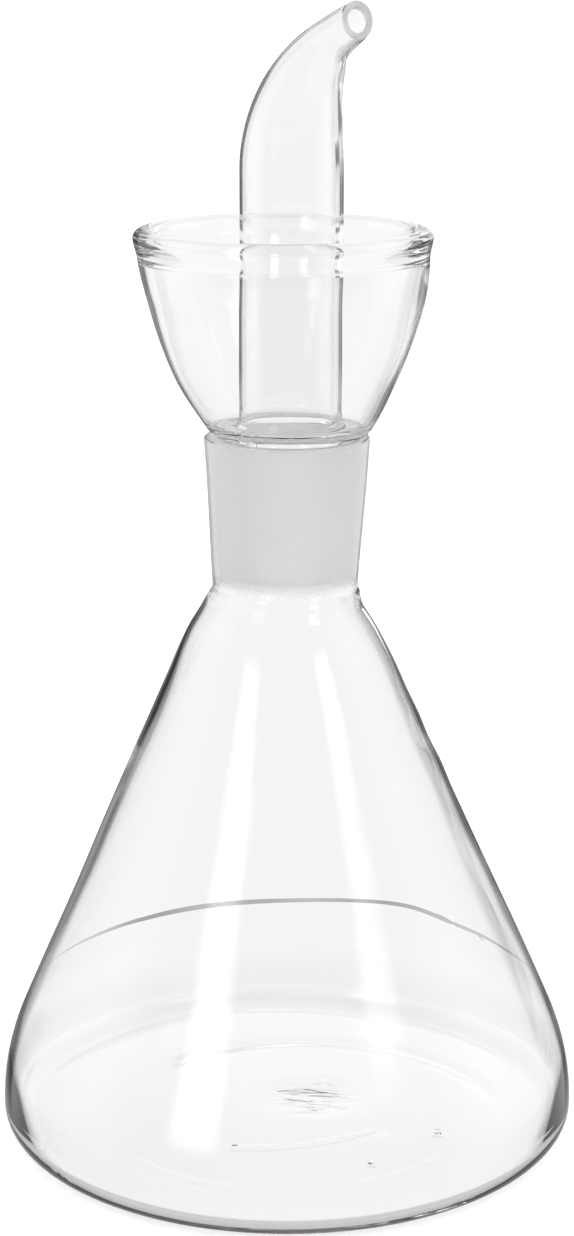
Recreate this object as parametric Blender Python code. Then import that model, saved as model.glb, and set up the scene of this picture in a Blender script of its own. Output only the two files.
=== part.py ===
# Olive oil dispenser bottle of clear blown glass.
# A conical flask with a ground neck, closed by a lift-out pourer: a ground cone, a drip cup and a bent spout.
# Metres, +Z up. The origin is on the flask's axis, on the surface that it stands on. The spout points along +X.

import math

import bmesh
import bpy
from mathutils import Matrix, Vector

# Flask
FLASK_RADIUS = 0.0485        # widest, just above the base
FOOT_RADIUS = 0.0434         # outer edge of the flat ring that it stands on
FOOT_WIDTH = 0.0080          # width of that ring
KICK_HEIGHT = 0.0012         # push-up in the middle of the base
CORNER_HEIGHT = 0.0044       # from the foot up to the widest level
CORNER_RISE = 0.0158         # from the widest level up to the straight cone
BODY_HEIGHT = 0.0938         # from the foot up to the seal with the ground neck
SHOULDER_DROP = 0.0127       # the cone bends inwards over this height below the seal
SHOULDER_FLARE = 0.0067      # how much wider than the neck the cone is where that bend starts
FLASK_WALL = 0.0012
BASE_THICKNESS = 0.0026

# Ground joint, a 1 in 10 taper with a 24 mm large end
JOINT_BORE_RADIUS = 0.0120   # socket's bore at its lip
JOINT_TAPER_SHARE = 0.05     # radius lost per unit of depth
JOINT_LENGTH = 0.0248
JOINT_WALL = 0.00145
JOINT_CLEARANCE = 0.0003     # between the socket and the cone
CONE_REACH = 0.0224          # how deep the cone goes below the socket's lip
CONE_WALL = 0.0012
CONE_NOSE = 0.0014           # height of the rounding at the cone's lower end

# Drip cup
CUP_STANDOFF = 0.0009        # between the socket's lip and the underside of the cup
CUP_HEIGHT = 0.0328          # from its underside to the top of the rim
CUP_NECK_RADIUS = 0.0125     # outside, at its underside
RIM_RADIUS = 0.0239          # outermost, at the bead
BEAD_RADIUS = 0.0015         # of the rounded rim's section
BEAD_OVERHANG = 0.0005       # how far the bead stands out from the wall under it
CUP_WALL = 0.0013
CUP_FLOOR = 0.0014
CUP_LOWER_PULL = 0.0071      # how far the wall keeps its flare at the bottom
CUP_UPPER_PULL = 0.0129      # how far it runs straight up under the bead
CUP_FLARE_ANGLE = math.radians(35)   # lean of the wall at the bottom, from upright
DRIP_HOLE_LENGTH = 0.0034    # along the floor's ring
DRIP_HOLE_WIDTH = 0.0016     # across it
DRIP_HOLE_ANGLE = math.radians(-75)  # from the spout's direction

# Spout tube
TUBE_RADIUS = 0.00825
TUBE_WALL = 0.0010
TUBE_FOOT_FLARE = 0.0003     # how much wider its foot is
TUBE_FOOT_HEIGHT = 0.0025
TUBE_STRAIGHT = 0.0406       # from its foot to where it starts to bend
SPOUT_REACH = 0.0160         # from the axis to the middle of the tip
SPOUT_RISE = 0.0231          # from where it starts to bend up to the middle of the tip
SPOUT_LOWER_PULL = 0.0099    # how far the bend keeps straight up
SPOUT_UPPER_PULL = 0.0125    # how far it runs straight before the tip
SPOUT_LEAN = math.radians(25)        # direction at the tip, up from level
TIP_CUT = math.radians(8)            # direction that the cut end faces, up from level
TIP_RADIUS = 0.00295
TIP_WALL = 0.00105
TIP_ROUNDING = 0.0003        # fire-polished edge of the tip
TAPER_POWER = 1.8            # how late along the bend the tube narrows

# Fits and fineness
SEAM = 0.0003                # between two pieces of glass that are sealed together
OVERRUN = 0.0010             # how far a cutter passes through
TURNED_SIDES = 48
TUBE_SIDES = 32
CURVE_STEPS = 6
CUP_STEPS = 10
BEAD_STEPS = 12
BEND_STEPS = 18
MERGE_DISTANCE = 1e-7

# Levels and radii that follow
SOCKET_LIP_Z = BODY_HEIGHT + JOINT_LENGTH
CONE_BOTTOM_Z = SOCKET_LIP_Z - CONE_REACH
CUP_BOTTOM_Z = SOCKET_LIP_Z + CUP_STANDOFF
CUP_FLOOR_Z = CUP_BOTTOM_Z + CUP_FLOOR
TUBE_FOOT_Z = CUP_FLOOR_Z + SEAM
TUBE_BORE_RADIUS = TUBE_RADIUS - TUBE_WALL


def clear_scene():
    for old in list(bpy.data.objects):
        bpy.data.objects.remove(old, do_unlink=True)


# Materials

def glass(name, colour, roughness):
    material = bpy.data.materials.new(name)
    material.use_nodes = True
    shader = material.node_tree.nodes["Principled BSDF"]
    shader.inputs["Base Color"].default_value = (*colour, 1.0)
    shader.inputs["Roughness"].default_value = roughness
    shader.inputs["Metallic"].default_value = 0.0
    shader.inputs["IOR"].default_value = 1.47
    shader.inputs["Transmission Weight"].default_value = 1.0
    return material


# Outlines, as (radius, height) points

def quadratic(start, pull, end, steps):
    points = []
    for i in range(steps + 1):
        t = i / steps
        a, b, c = (1 - t) ** 2, 2 * t * (1 - t), t * t
        points.append(tuple(a * s + b * p + c * e for s, p, e in zip(start, pull, end)))
    return points


def cubic(start, first, second, end, steps):
    points = []
    for i in range(steps + 1):
        t = i / steps
        a, b, c, d = (1 - t) ** 3, 3 * t * (1 - t) ** 2, 3 * t * t * (1 - t), t ** 3
        points.append(tuple(a * s + b * p + c * q + d * e for s, p, q, e in zip(start, first, second, end)))
    return points


def arc(centre, radii, start, end, steps):
    points = []
    for i in range(steps + 1):
        angle = start + (end - start) * i / steps
        points.append((centre[0] + radii[0] * math.cos(angle), centre[1] + radii[1] * math.sin(angle)))
    return points


def on_line(start, end, height):
    share = (height - start[1]) / (end[1] - start[1])
    return (start[0] + (end[0] - start[0]) * share, height)


def inset(outline, walls):
    """Moves each point of an outline that runs up the outside to its left, by its own wall thickness."""
    moved = []
    for i, point in enumerate(outline):
        before = Vector(outline[max(i - 1, 0)])
        after = Vector(outline[min(i + 1, len(outline) - 1)])
        along = (after - before).normalized()
        inwards = Vector((-along.y, along.x))
        moved.append(tuple(Vector(point) + inwards * walls[i]))
    return moved


def socket_bore(height):
    return JOINT_BORE_RADIUS - JOINT_TAPER_SHARE * (SOCKET_LIP_Z - height)


def cone_radius(height):
    return socket_bore(height) - JOINT_CLEARANCE


# Turned and lofted meshes

def add_object(name, bm, material, sharp_angle=math.radians(40)):
    bmesh.ops.remove_doubles(bm, verts=bm.verts, dist=MERGE_DISTANCE)
    bmesh.ops.recalc_face_normals(bm, faces=bm.faces)
    mesh = bpy.data.meshes.new(name)
    bm.to_mesh(mesh)
    bm.free()
    mesh.materials.append(material)
    mesh.shade_smooth()
    mesh.set_sharp_from_angle(angle=sharp_angle)
    piece = bpy.data.objects.new(name, mesh)
    bpy.context.collection.objects.link(piece)
    return piece


def turned(name, outline, closed, material):
    """Spins an outline once round the vertical axis."""
    bm = bmesh.new()
    verts = [bm.verts.new((radius, 0.0, height)) for radius, height in outline]
    pairs = list(zip(verts, verts[1:]))
    if closed:
        pairs.append((verts[-1], verts[0]))
    edges = [bm.edges.new(pair) for pair in pairs]
    bmesh.ops.spin(bm, geom=verts + edges, cent=(0, 0, 0), axis=(0, 0, 1), dvec=(0, 0, 0),
                   angle=2 * math.pi, steps=TURNED_SIDES, use_merge=True, use_duplicate=False)
    return add_object(name, bm, material)


def add_ring(bm, radius, centre, facing):
    """A circle of vertices round a point of the XZ plane, facing an angle up from +X."""
    turn = Matrix.Rotation(math.pi / 2 - facing, 4, "Y")
    made = bmesh.ops.create_circle(bm, cap_ends=False, segments=TUBE_SIDES, radius=radius,
                                   matrix=Matrix.Translation((centre[0], 0.0, centre[1])) @ turn)
    return made["verts"]


def lofted(name, rings, material):
    """Joins a loop of rings, each to the next and the last to the first."""
    bm = bmesh.new()
    loops = [add_ring(bm, *ring) for ring in rings]
    for one, other in zip(loops, loops[1:] + loops[:1]):
        for i in range(TUBE_SIDES):
            bm.faces.new((one[i - 1], one[i], other[i], other[i - 1]))
    return add_object(name, bm, material)


# Flask

def flask_body(material):
    neck_radius = socket_bore(BODY_HEIGHT) + JOINT_WALL
    foot_inner = FOOT_RADIUS - FOOT_WIDTH
    shoulder_foot = (neck_radius + SHOULDER_FLARE, BODY_HEIGHT - SHOULDER_DROP)
    corner_pull = (FLASK_RADIUS, CORNER_HEIGHT + CORNER_RISE / 2)
    cone_foot = on_line(corner_pull, shoulder_foot, CORNER_HEIGHT + CORNER_RISE)
    shoulder_pull = on_line(corner_pull, shoulder_foot, BODY_HEIGHT - SHOULDER_DROP / 2)

    kick = []
    for i in range(CURVE_STEPS):
        share = i / CURVE_STEPS
        kick.append((foot_inner * share, KICK_HEIGHT * (1 + math.cos(math.pi * share)) / 2))
    foot = [(foot_inner, 0.0)]
    low_corner = arc((FOOT_RADIUS, CORNER_HEIGHT), (FLASK_RADIUS - FOOT_RADIUS, CORNER_HEIGHT),
                     -math.pi / 2, 0.0, CURVE_STEPS)
    high_corner = quadratic((FLASK_RADIUS, CORNER_HEIGHT), corner_pull, cone_foot, CURVE_STEPS)[1:]
    shoulder = quadratic(shoulder_foot, shoulder_pull, (neck_radius, BODY_HEIGHT), CURVE_STEPS)
    base = kick + foot
    outside = base + low_corner + high_corner + shoulder

    walls = [BASE_THICKNESS] * len(base)
    for i in range(len(low_corner)):
        walls.append(BASE_THICKNESS + (FLASK_WALL - BASE_THICKNESS) * i / (len(low_corner) - 1))
    walls += [FLASK_WALL] * (len(outside) - len(walls))
    inside = inset(outside, walls)
    inside[0] = (0.0, KICK_HEIGHT + BASE_THICKNESS)
    inside[-1] = (neck_radius - FLASK_WALL, BODY_HEIGHT)
    return turned("flask_body", outside + inside[::-1], False, material)


def ground_socket(material):
    bottom = BODY_HEIGHT + SEAM
    lip_radius = JOINT_WALL / 2
    lip_z = SOCKET_LIP_Z - lip_radius
    lip = arc((socket_bore(lip_z) + lip_radius, lip_z), (lip_radius, lip_radius), 0.0, math.pi, CURVE_STEPS)
    outline = [(socket_bore(bottom) + JOINT_WALL, bottom)] + lip + [(socket_bore(bottom), bottom)]
    return turned("ground_socket", outline, True, material)


# Pourer

def ground_cone(material):
    top = CUP_BOTTOM_Z - SEAM
    nose_z = CONE_BOTTOM_Z + CONE_NOSE
    nose_inner = cone_radius(nose_z) - CONE_WALL
    nose = arc((nose_inner, nose_z), (CONE_WALL, CONE_NOSE), -math.pi / 2, 0.0, CURVE_STEPS)
    outline = nose + [(cone_radius(top), top), (cone_radius(top) - CONE_WALL, top)]
    return turned("ground_cone", outline, True, material)


def cup_outline():
    """The closed section of the cup: up the outside, over the bead, down the inside and back along the floor."""
    bead = (RIM_RADIUS - BEAD_RADIUS, CUP_BOTTOM_Z + CUP_HEIGHT - BEAD_RADIUS)
    wall_radius = RIM_RADIUS - BEAD_OVERHANG
    outer_reach = wall_radius - bead[0]
    inner_reach = outer_reach - CUP_WALL
    outer_angle = -math.acos(outer_reach / BEAD_RADIUS)
    inner_angle = 2 * math.pi - math.acos(inner_reach / BEAD_RADIUS)
    wall_top = bead[1] + BEAD_RADIUS * math.sin(outer_angle)
    start = (CUP_NECK_RADIUS, CUP_BOTTOM_Z)
    lower = (start[0] + CUP_LOWER_PULL * math.sin(CUP_FLARE_ANGLE),
             start[1] + CUP_LOWER_PULL * math.cos(CUP_FLARE_ANGLE))
    upper = (wall_radius, wall_top - CUP_UPPER_PULL)
    outside = cubic(start, lower, upper, (wall_radius, wall_top), CUP_STEPS)
    inside = [point for point in inset(outside, [CUP_WALL] * len(outside)) if point[1] > CUP_FLOOR_Z]
    corner = on_line(inside[0], inside[1], CUP_FLOOR_Z)
    rim = arc(bead, (BEAD_RADIUS, BEAD_RADIUS), outer_angle, inner_angle, BEAD_STEPS)
    floor = [corner, (TUBE_BORE_RADIUS, CUP_FLOOR_Z), (TUBE_BORE_RADIUS, CUP_BOTTOM_Z)]
    return outside[:-1] + rim + inside[-2:0:-1] + floor


def drip_hole_cutter():
    """An upright oval bar through the cup's floor, between the tube's foot and the cone's bore."""
    inner = TUBE_RADIUS + TUBE_FOOT_FLARE
    outer = cone_radius(CUP_BOTTOM_Z - SEAM) - CONE_WALL
    middle = (inner + outer) / 2
    bm = bmesh.new()
    bmesh.ops.create_cone(bm, cap_ends=True, segments=TUBE_SIDES, radius1=DRIP_HOLE_WIDTH / 2,
                          radius2=DRIP_HOLE_WIDTH / 2, depth=CUP_FLOOR + 2 * OVERRUN)
    bmesh.ops.scale(bm, vec=(1.0, DRIP_HOLE_LENGTH / DRIP_HOLE_WIDTH, 1.0), verts=bm.verts)
    place = Matrix.Rotation(DRIP_HOLE_ANGLE, 4, "Z") @ Matrix.Translation((middle, 0.0, CUP_BOTTOM_Z + CUP_FLOOR / 2))
    bmesh.ops.transform(bm, matrix=place, verts=bm.verts)
    mesh = bpy.data.meshes.new("drip_hole_cutter")
    bm.to_mesh(mesh)
    bm.free()
    cutter = bpy.data.objects.new("drip_hole_cutter", mesh)
    bpy.context.collection.objects.link(cutter)
    cutter.hide_render = True
    cutter.display_type = "WIRE"
    return cutter


def drip_cup(material):
    cup = turned("drip_cup", cup_outline(), True, material)
    hole = cup.modifiers.new("drip_hole", "BOOLEAN")
    hole.operation = "DIFFERENCE"
    hole.solver = "EXACT"
    hole.object = drip_hole_cutter()
    return cup


def bend_stations():
    """Points along the bend, as (share of the bend, (x, height), direction up from level)."""
    start = (0.0, TUBE_FOOT_Z + TUBE_STRAIGHT)
    end = (SPOUT_REACH, start[1] + SPOUT_RISE)
    first = (0.0, start[1] + SPOUT_LOWER_PULL)
    second = (end[0] - SPOUT_UPPER_PULL * math.cos(SPOUT_LEAN), end[1] - SPOUT_UPPER_PULL * math.sin(SPOUT_LEAN))
    path = [Vector(point) for point in cubic(start, first, second, end, BEND_STEPS)]
    stations = []
    for i, point in enumerate(path):
        share = i / BEND_STEPS
        along = path[min(i + 1, BEND_STEPS)] - path[max(i - 1, 0)]
        direction = math.pi / 2 if i == 0 else math.atan2(along.y, along.x)
        cut_share = share ** 3
        stations.append((share, point, direction * (1 - cut_share) + TIP_CUT * cut_share))
    return stations


def pouring_spout(material):
    foot = []
    for radius, height in quadratic((TUBE_RADIUS + TUBE_FOOT_FLARE, TUBE_FOOT_Z), (TUBE_RADIUS, TUBE_FOOT_Z),
                                    (TUBE_RADIUS, TUBE_FOOT_Z + TUBE_FOOT_HEIGHT), CURVE_STEPS):
        foot.append((radius, (0.0, height), math.pi / 2))
    outer, inner = [], []
    for share, point, direction in bend_stations():
        narrowing = share ** TAPER_POWER * (2 - share)
        radius = TUBE_RADIUS + (TIP_RADIUS - TUBE_RADIUS) * narrowing
        wall = TUBE_WALL + (TIP_WALL - TUBE_WALL) * narrowing
        outer.append((radius, point, direction))
        inner.append((radius - wall, point, direction))
    tip = outer[-1][1]
    back = tip - Vector((math.cos(TIP_CUT), math.sin(TIP_CUT))) * TIP_ROUNDING
    outer[-1] = (TIP_RADIUS, back, TIP_CUT)
    inner[-1] = (TIP_RADIUS - TIP_WALL, back, TIP_CUT)
    rounded = [(TIP_RADIUS - TIP_ROUNDING, tip, TIP_CUT), (TIP_RADIUS - TIP_WALL + TIP_ROUNDING, tip, TIP_CUT)]
    bore_foot = [(TUBE_BORE_RADIUS, (0.0, TUBE_FOOT_Z), math.pi / 2)]
    return lofted("pouring_spout", foot + outer + rounded + inner[::-1] + bore_foot, material)


def main():
    clear_scene()
    flask_body(glass("flask_glass", (0.95, 0.97, 0.97), 0.02))
    ground_socket(glass("socket_ground_glass", (0.90, 0.91, 0.91), 0.45))
    ground_cone(glass("cone_ground_glass", (0.89, 0.90, 0.90), 0.50))
    drip_cup(glass("cup_glass", (0.95, 0.97, 0.97), 0.02))
    pouring_spout(glass("spout_glass", (0.95, 0.97, 0.97), 0.02))


main()
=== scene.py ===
# Looks of the clear glass oil dispenser bottle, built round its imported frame.
# Metres, +Z up, in the frame's own place: the spout points along +X.

import math

import bmesh
import bpy
import numpy as np
from mathutils import Matrix, Vector


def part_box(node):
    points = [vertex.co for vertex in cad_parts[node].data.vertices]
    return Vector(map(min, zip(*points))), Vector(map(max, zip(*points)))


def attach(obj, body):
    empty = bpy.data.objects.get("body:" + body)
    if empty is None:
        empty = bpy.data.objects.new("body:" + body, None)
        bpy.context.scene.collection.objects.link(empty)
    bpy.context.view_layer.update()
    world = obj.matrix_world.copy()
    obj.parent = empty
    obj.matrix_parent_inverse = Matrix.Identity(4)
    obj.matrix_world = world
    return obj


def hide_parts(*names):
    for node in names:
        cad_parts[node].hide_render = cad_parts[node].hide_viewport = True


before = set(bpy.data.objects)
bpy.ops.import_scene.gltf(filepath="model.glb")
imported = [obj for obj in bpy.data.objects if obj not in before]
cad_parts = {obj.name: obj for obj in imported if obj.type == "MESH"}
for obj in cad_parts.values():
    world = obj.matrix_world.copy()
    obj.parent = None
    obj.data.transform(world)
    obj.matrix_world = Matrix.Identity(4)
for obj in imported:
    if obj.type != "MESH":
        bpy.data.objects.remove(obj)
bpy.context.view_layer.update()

# Levels and radii that the frame gives
FLASK_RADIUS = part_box("flask_body")[1].x
SEAL_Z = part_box("flask_body")[1].z
LIP_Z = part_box("ground_socket")[1].z
CONE_FOOT_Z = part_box("ground_cone")[0].z
CUP_SAG = 0.0006             # the cup's seal sags almost onto the socket's lip
CUP_FOOT_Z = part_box("drip_cup")[0].z - CUP_SAG
RIM_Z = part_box("drip_cup")[1].z
RIM_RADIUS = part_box("drip_cup")[1].y
TUBE_FOOT_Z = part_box("pouring_spout")[0].z

# Camera, as fitted to the photograph
CAMERA_AZIMUTH = math.radians(52)
CAMERA_DISTANCE = 0.4263
CAMERA_HEIGHT = 0.20115
CAMERA_PITCH = 0.259
CAMERA_LENS = 77.97
CAMERA_SENSOR = 36.0
CAMERA_CLIP = (0.01, 20.0)
# Level directions, towards the picture's right and away from the camera
IMAGE_SIDE = Vector((math.cos(CAMERA_AZIMUTH), math.sin(CAMERA_AZIMUTH), 0.0))
VIEW_AHEAD = Vector((-math.sin(CAMERA_AZIMUTH), math.cos(CAMERA_AZIMUTH), 0.0))

# Flask
FOOT_RADIUS = 0.0434
FOOT_WIDTH = 0.0080
KICK_HEIGHT = 0.0012
KICK_POINTS = 45
CORNER_HEIGHT = 0.0044
CORNER_RISE = 0.0158
SHOULDER_DROP = 0.0127
SHOULDER_FLARE = 0.0067
SUNKEN = ((0.0002, 0.028, 0.045), (0.0001, 0.060, 0.074))    # drawn in by that much between these heights
HOLLOW = (0.0003, 0.0905, 0.0025)       # of the shoulder: depth, middle and spread
HOLLOW_END_Z = 0.0915
SEAL_SWELL = (0.0003, 0.0895, SEAL_Z)   # and fuller by that much from there to the seal
BASE_THICKNESS = 0.0017
BASE_FADE = 0.0140           # height over which the base's thickness gives way to the wall's
LOW_WALL = 0.0009            # the wall just above the base
WALL_GAIN = (0.00060, 0.018, 0.050)     # thicker by that much between these heights
WALL_LOSS = (0.0009, 0.058, 0.092)      # and thinner again between these
SEAL_FILLET = 0.0007         # outside
INNER_SEAL_FILLET = 0.0016
INNER_SEAL_GAP = 0.0012      # the body's inside ends this far below the seal
LIP_EDGE = 0.00025           # rounding of the lip's edges
LIP_EDGE_STEPS = 5

# Ground joint
BORE_RADIUS = 0.0120
TAPER = 0.05
JOINT_WALL = 0.00145
NECK_NARROWING = 0.00035     # how much thinner the neck is at the seal
CLEARANCE = 0.0003
CONE_WALL = 0.0012
CONE_NOSE = 0.0014
CONE_GROUND_Z = CUP_FOOT_Z + 0.0001     # the cone is ground up to here
GRINDING_END = 0.0002        # the socket's grinding stops this far above the seal
GRINDING_FADE = 0.0032       # and thins out from this height above it
THINNING_STEPS = 6           # finishes between ground and clear, where it does
THINNING_SPREAD = 0.8        # how unevenly it does, in such steps
THINNING_SEED = 5

# Drip cup
CUP_NECK_RADIUS = 0.0125
CUP_FOOT_FILLET = 0.0012     # how far up the cup's outside the fillet over the cone reaches
CUP_FOOT_PULL = 0.0002       # its corner lies this far inside the cup's neck
BEAD_RADIUS = 0.0015
BEAD_DEPTH = 0.0018          # half the bead's depth across the wall
BEAD_OVERHANG = 0.0005
BEAD_SWELL = 0.0021          # how far below its middle the bead starts to swell outside
BEAD_SWELL_INSIDE = 0.0032
SWELL_PULLS = (0.0008, 0.0007)          # of that curve outside, at the wall and at the bead
INNER_SWELL_PULLS = (0.0009, 0.0012)    # and inside, at the bead and at the wall
CUP_WALL = 0.0014
CUP_LOW_WALL = 0.0009        # thinner towards its foot
CUP_WALL_SPAN = (0.126, 0.141)          # and thickening between these heights
CUP_SLIMMING = (0.00025, 0.137, 0.008)  # drawn in at half height: depth, middle and spread
CUP_FLOOR = 0.0014
CUP_LOWER_PULL = 0.0071
CUP_UPPER_PULL = 0.0129
CUP_FLARE_ANGLE = math.radians(35)
CUP_CORNER = 0.0020          # fillet between the cup's floor and its wall
CUP_CORNER_SHARE = 0.8       # how much of that it takes of the floor
DRIP_HOLE_LENGTH = 0.0034
DRIP_HOLE_WIDTH = 0.0016
DRIP_HOLE_ANGLE = math.radians(-75)
DRIP_HOLE_GAP = 0.0003       # between the tube and the ring of floor that the hole is in the middle of
DRIP_HOLE_SIDES = 48
CUTTER_SPARE = 0.002         # how much longer its cutter is than the floor is thick

# Spout
TUBE_RADIUS = 0.00825
TUBE_WALL = 0.0010
TUBE_STRAIGHT = 0.0406
BEND_Z = TUBE_FOOT_Z + TUBE_STRAIGHT
SPOUT_REACH = 0.0160
SPOUT_RISE = 0.0231
SPOUT_LOWER_PULL = 0.0099
SPOUT_UPPER_PULL = 0.0125
SPOUT_LEAN = math.radians(25)
SPOUT_STEPS = 48
BEND_FULLER = (0.00013, 0.42, 0.20)     # fuller than its plain taper here: size, middle and spread
BEND_SLIMMER = (0.00034, 0.80, 0.11)    # and slimmer here, as shares of the bend
TIP_CUT = math.radians(8)
TIP_TURN_POWER = 3           # how late the rings turn to the angle of the cut
TIP_RADIUS = 0.00295
TIP_WALL = 0.00105
TIP_EDGE = 0.00025           # rounding of the cut tip's edges
TIP_EDGE_POINTS = 5
TAPER_POWER = 1.8
TUBE_FOOT_ROUND = (0.0012, 0.0032)      # flare of the tube's foot, outwards and upwards
SEAL_ROUND = 0.0014          # fillets under the floor

# Hand-blown unevenness of the flask, towards the picture's right
FLASK_LEAN = (-0.00055, 0.020, 0.080)       # how far, and between which heights it comes
SHOULDER_LEAN = (-0.00025, 0.078, 0.088)
NECK_LEAN = -0.00030         # outside, at the neck's foot
NECK_FOOT_Z = 0.0905         # the body's lean gives way to the neck's from here to the seal
NECK_LEAN_END_Z = LIP_Z - 0.004
INNER_SHIFT = 0.00036        # of the body's inside
INNER_SHIFT_START = (0.036, 0.060)
INNER_SHIFT_END = (0.070, 0.090)

# Slow waves of its blown wall, as (height, waves round, change with the level, start), and its ripples
OUTER_WAVES = ((0.000030, 3, 150, 0.0), (0.000022, 5, -260, 1.0))
INNER_WAVES = ((0.000032, 2, 190, 2.0), (0.000018, 4, -330, 0.0))
WAVES_START = (0.008, 0.030)
WAVES_END_Z = 0.088
RIPPLE = (0.00013, 0.067, 0.0085)       # at the picture's right: height, middle and spread
RIPPLE_START_Z = 0.060
RIPPLE_PITCH = 0.0095
RIPPLE_FOCUS = 3             # how closely it keeps to that side

# Hand-blown unevenness of the pourer, towards the picture's right
CUP_FOOT_SHIFT = 0.00045
CUP_BELLY_SHIFT = -0.00010
CUP_LEAN = -0.00062          # at its rim
CUP_INNER_LEAN = -0.00034
TUBE_SHIFT = 0.00073
TIP_SHIFT = 0.00020
BORE_SHIFT = -0.00020
CUP_START = (-0.0009, 0.0003)           # these come and go over such heights: from the cup's foot,
CUP_BELLY_START = (0.001, 0.010)
TUBE_START = (-0.002, 0.003)
CUP_LEAN_START = (-0.0125, -0.0020)     # from the rim
CUP_INNER_END = (-0.012, -0.003)
TIP_START = (0.012, 0.022)              # and from the start of the bend

# Marks in the flask's base: middles are (towards the picture's right, away from the camera)
BASE_RINGS = (               # middle, radius, width, height, and the stretches it is kept to, across and away
    ((0.003, -0.008), 0.0345, 0.0030, 0.00016, (-0.020, 0.036), (0.000, 0.040)),
    ((-0.0053, 0.0143), 0.0321, 0.00060, 0.00009, (-0.0090, 0.0150), (-0.030, 0.000)),
    ((0.0, 0.0), 0.0335, 0.00060, 0.00005, (-0.026, -0.008), (-0.040, -0.015)),
    ((0.0, 0.0), 0.0330, 0.00060, 0.00005, (0.010, 0.026), (-0.040, -0.015)),
)
RING_END = 0.0015            # softness of its ends
BASE_SPOTS = (               # middle, width and height
    ((0.0253, -0.0120), 0.0015, 0.00028),
    ((0.0139, -0.0241), 0.0013, 0.00026),
    ((0.0155, -0.0120), 0.0030, 0.00010),
    ((-0.0090, -0.0175), 0.0011, 0.00012),
)
BASE_NAVEL = (0.0045, 0.0005)
BASE_NAVEL_WIDTH = 0.0105
BASE_NAVEL_GRAIN = (0.45, 1.5, 1.0)     # folds are longer than they are wide
BASE_NAVEL_TURN = math.radians(25)
FOLD_HEIGHT = 0.00060
FOLD_SCALE = 230.0
FOLD_DISTORTION = 1.5
MARKS_START = (0.00125, 0.00140)        # all of them keep to the inside of the base, between these levels
MARKS_END = (0.0040, 0.0050)

# Glass
GLASS_IOR = 1.47
GLASS_TINT = (0.998, 1.0, 1.0, 1.0)
WAVE_HEIGHT = 0.00005
WAVE_SCALE = 55.0
WISP_HEIGHT = 0.00003
WISP_SCALE = 220.0
WISP_DISTORTION = 2.0
WISP_SPREAD = 75.0           # scale of the noise that says where wisps are
WISP_RANGE = (0.70, 0.78)
CLEAR_SHADOW = 0.93          # share of the lamps' light that clear glass lets through
GROUND_SHADOW = 0.75         # and ground glass
GROUND_SHADE = 0.97
GROUND_MILKINESS = 0.35
CUT_PAINTED_SHADE = 0.66             # painted shade: the spout's cut end, ground like the joint but coloured darker for the shade on it
CUT_MILKINESS = 0.15
COOLNESS = 0.002             # how much more green and blue than red
GROUND_TRANSMISSION = 0.40
GROUND_ROUGHNESS = (0.45, 0.65)
GRAIN_SCALE = 2500.0
MILK_COLOUR = (0.975, 0.977, 0.977, 1.0)
SHARP_ANGLE = math.radians(50)          # edges sharper than this aren't smoothed

# Fineness
FLASK_SIDES = 256
POURER_SIDES = 192

CLEAR, GROUND, CUT = 0, 1, 2            # finishes; the thinning ones follow after them

# Levels of the studio, which is white behind the glass and dark beside it
WHITE_LEVEL = 0.99           # seen straight through the glass
LOW_SHARE = 0.09             # how much darker that gets towards the table's near part
LOW_RANGE = (0.36, 0.46)     # between these sines of the angle below level
SCREEN_LEVEL = 1.20
DARK_LEVEL = 0.145           # the flags, seen by way of a reflection
LIGHT_LEVEL = 0.32           # a lighter strip across them
BRIGHT_LEVEL = 0.90          # the studio beside them
NEAR_LEVEL = 0.28            # and behind the camera
TABLE_LEVEL = 0.62           # below the flags
PLAIN_LEVEL = 1.10           # lights the floor and the ground glass
LEFT_BOX_LEVEL = 2.9
RIGHT_BOX_LEVEL = 2.0

# Places in the studio: azimuths round the bottle, and heights as angles above level
CAMERA_SIDE = CAMERA_AZIMUTH - math.pi / 2
AHEAD_AZIMUTH = CAMERA_AZIMUTH + math.pi / 2
NEAR_TURN = math.radians(125)           # the studio is dark from here round to the camera
BRIGHT_TURN = math.radians(85)          # and bright from straight ahead round to here
LEFT_BOX_AZIMUTH = CAMERA_SIDE - math.radians(37.5)
LEFT_BOX_HALF_WIDTH = math.radians(7.5)
LEFT_BOX_EDGE = math.radians(5)
LEFT_BOX_FOOT = math.radians(5)
LEFT_BOX_FOOT_EDGE = math.radians(8)
LEFT_BOX_TOP = math.radians(30)
RIGHT_BOX_AZIMUTH = CAMERA_SIDE + math.radians(49)
RIGHT_BOX_HALF_WIDTH = math.radians(6)
RIGHT_BOX_EDGE = math.radians(6)
RIGHT_BOX_FOOT = math.radians(21.5)
RIGHT_BOX_FOOT_EDGE = math.radians(3)
RIGHT_BOX_TOP = math.radians(34)
FLAG_AZIMUTH = AHEAD_AZIMUTH + math.radians(3)          # black flags, behind the glass on both sides
FLAG_HALF_WIDTH = math.radians(31)
FLAG_EDGE = math.radians(4)
FLAG_FOOT = math.radians(-22.5)
FLAG_FOOT_EDGE = math.radians(4)
FLAG_TOP = math.radians(13)
FLAG_TOP_EDGE = math.radians(3)
UPPER_FLAG_AZIMUTH = AHEAD_AZIMUTH - math.radians(8)    # wider where they stand beside the screen
UPPER_FLAG_HALF_WIDTH = math.radians(42)
LIGHT_FOOT = math.radians(-14)
LIGHT_TOP = math.radians(-8.5)
LIGHT_EDGE = math.radians(1.5)
SCREEN_AZIMUTH = AHEAD_AZIMUTH - math.radians(11)       # white screen between the flags
SCREEN_HALF_WIDTH = math.radians(16)
SCREEN_EDGE = math.radians(4)
SCREEN_FOOT = math.radians(-5.0)
SCREEN_FOOT_EDGE = math.radians(0.8)
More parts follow.
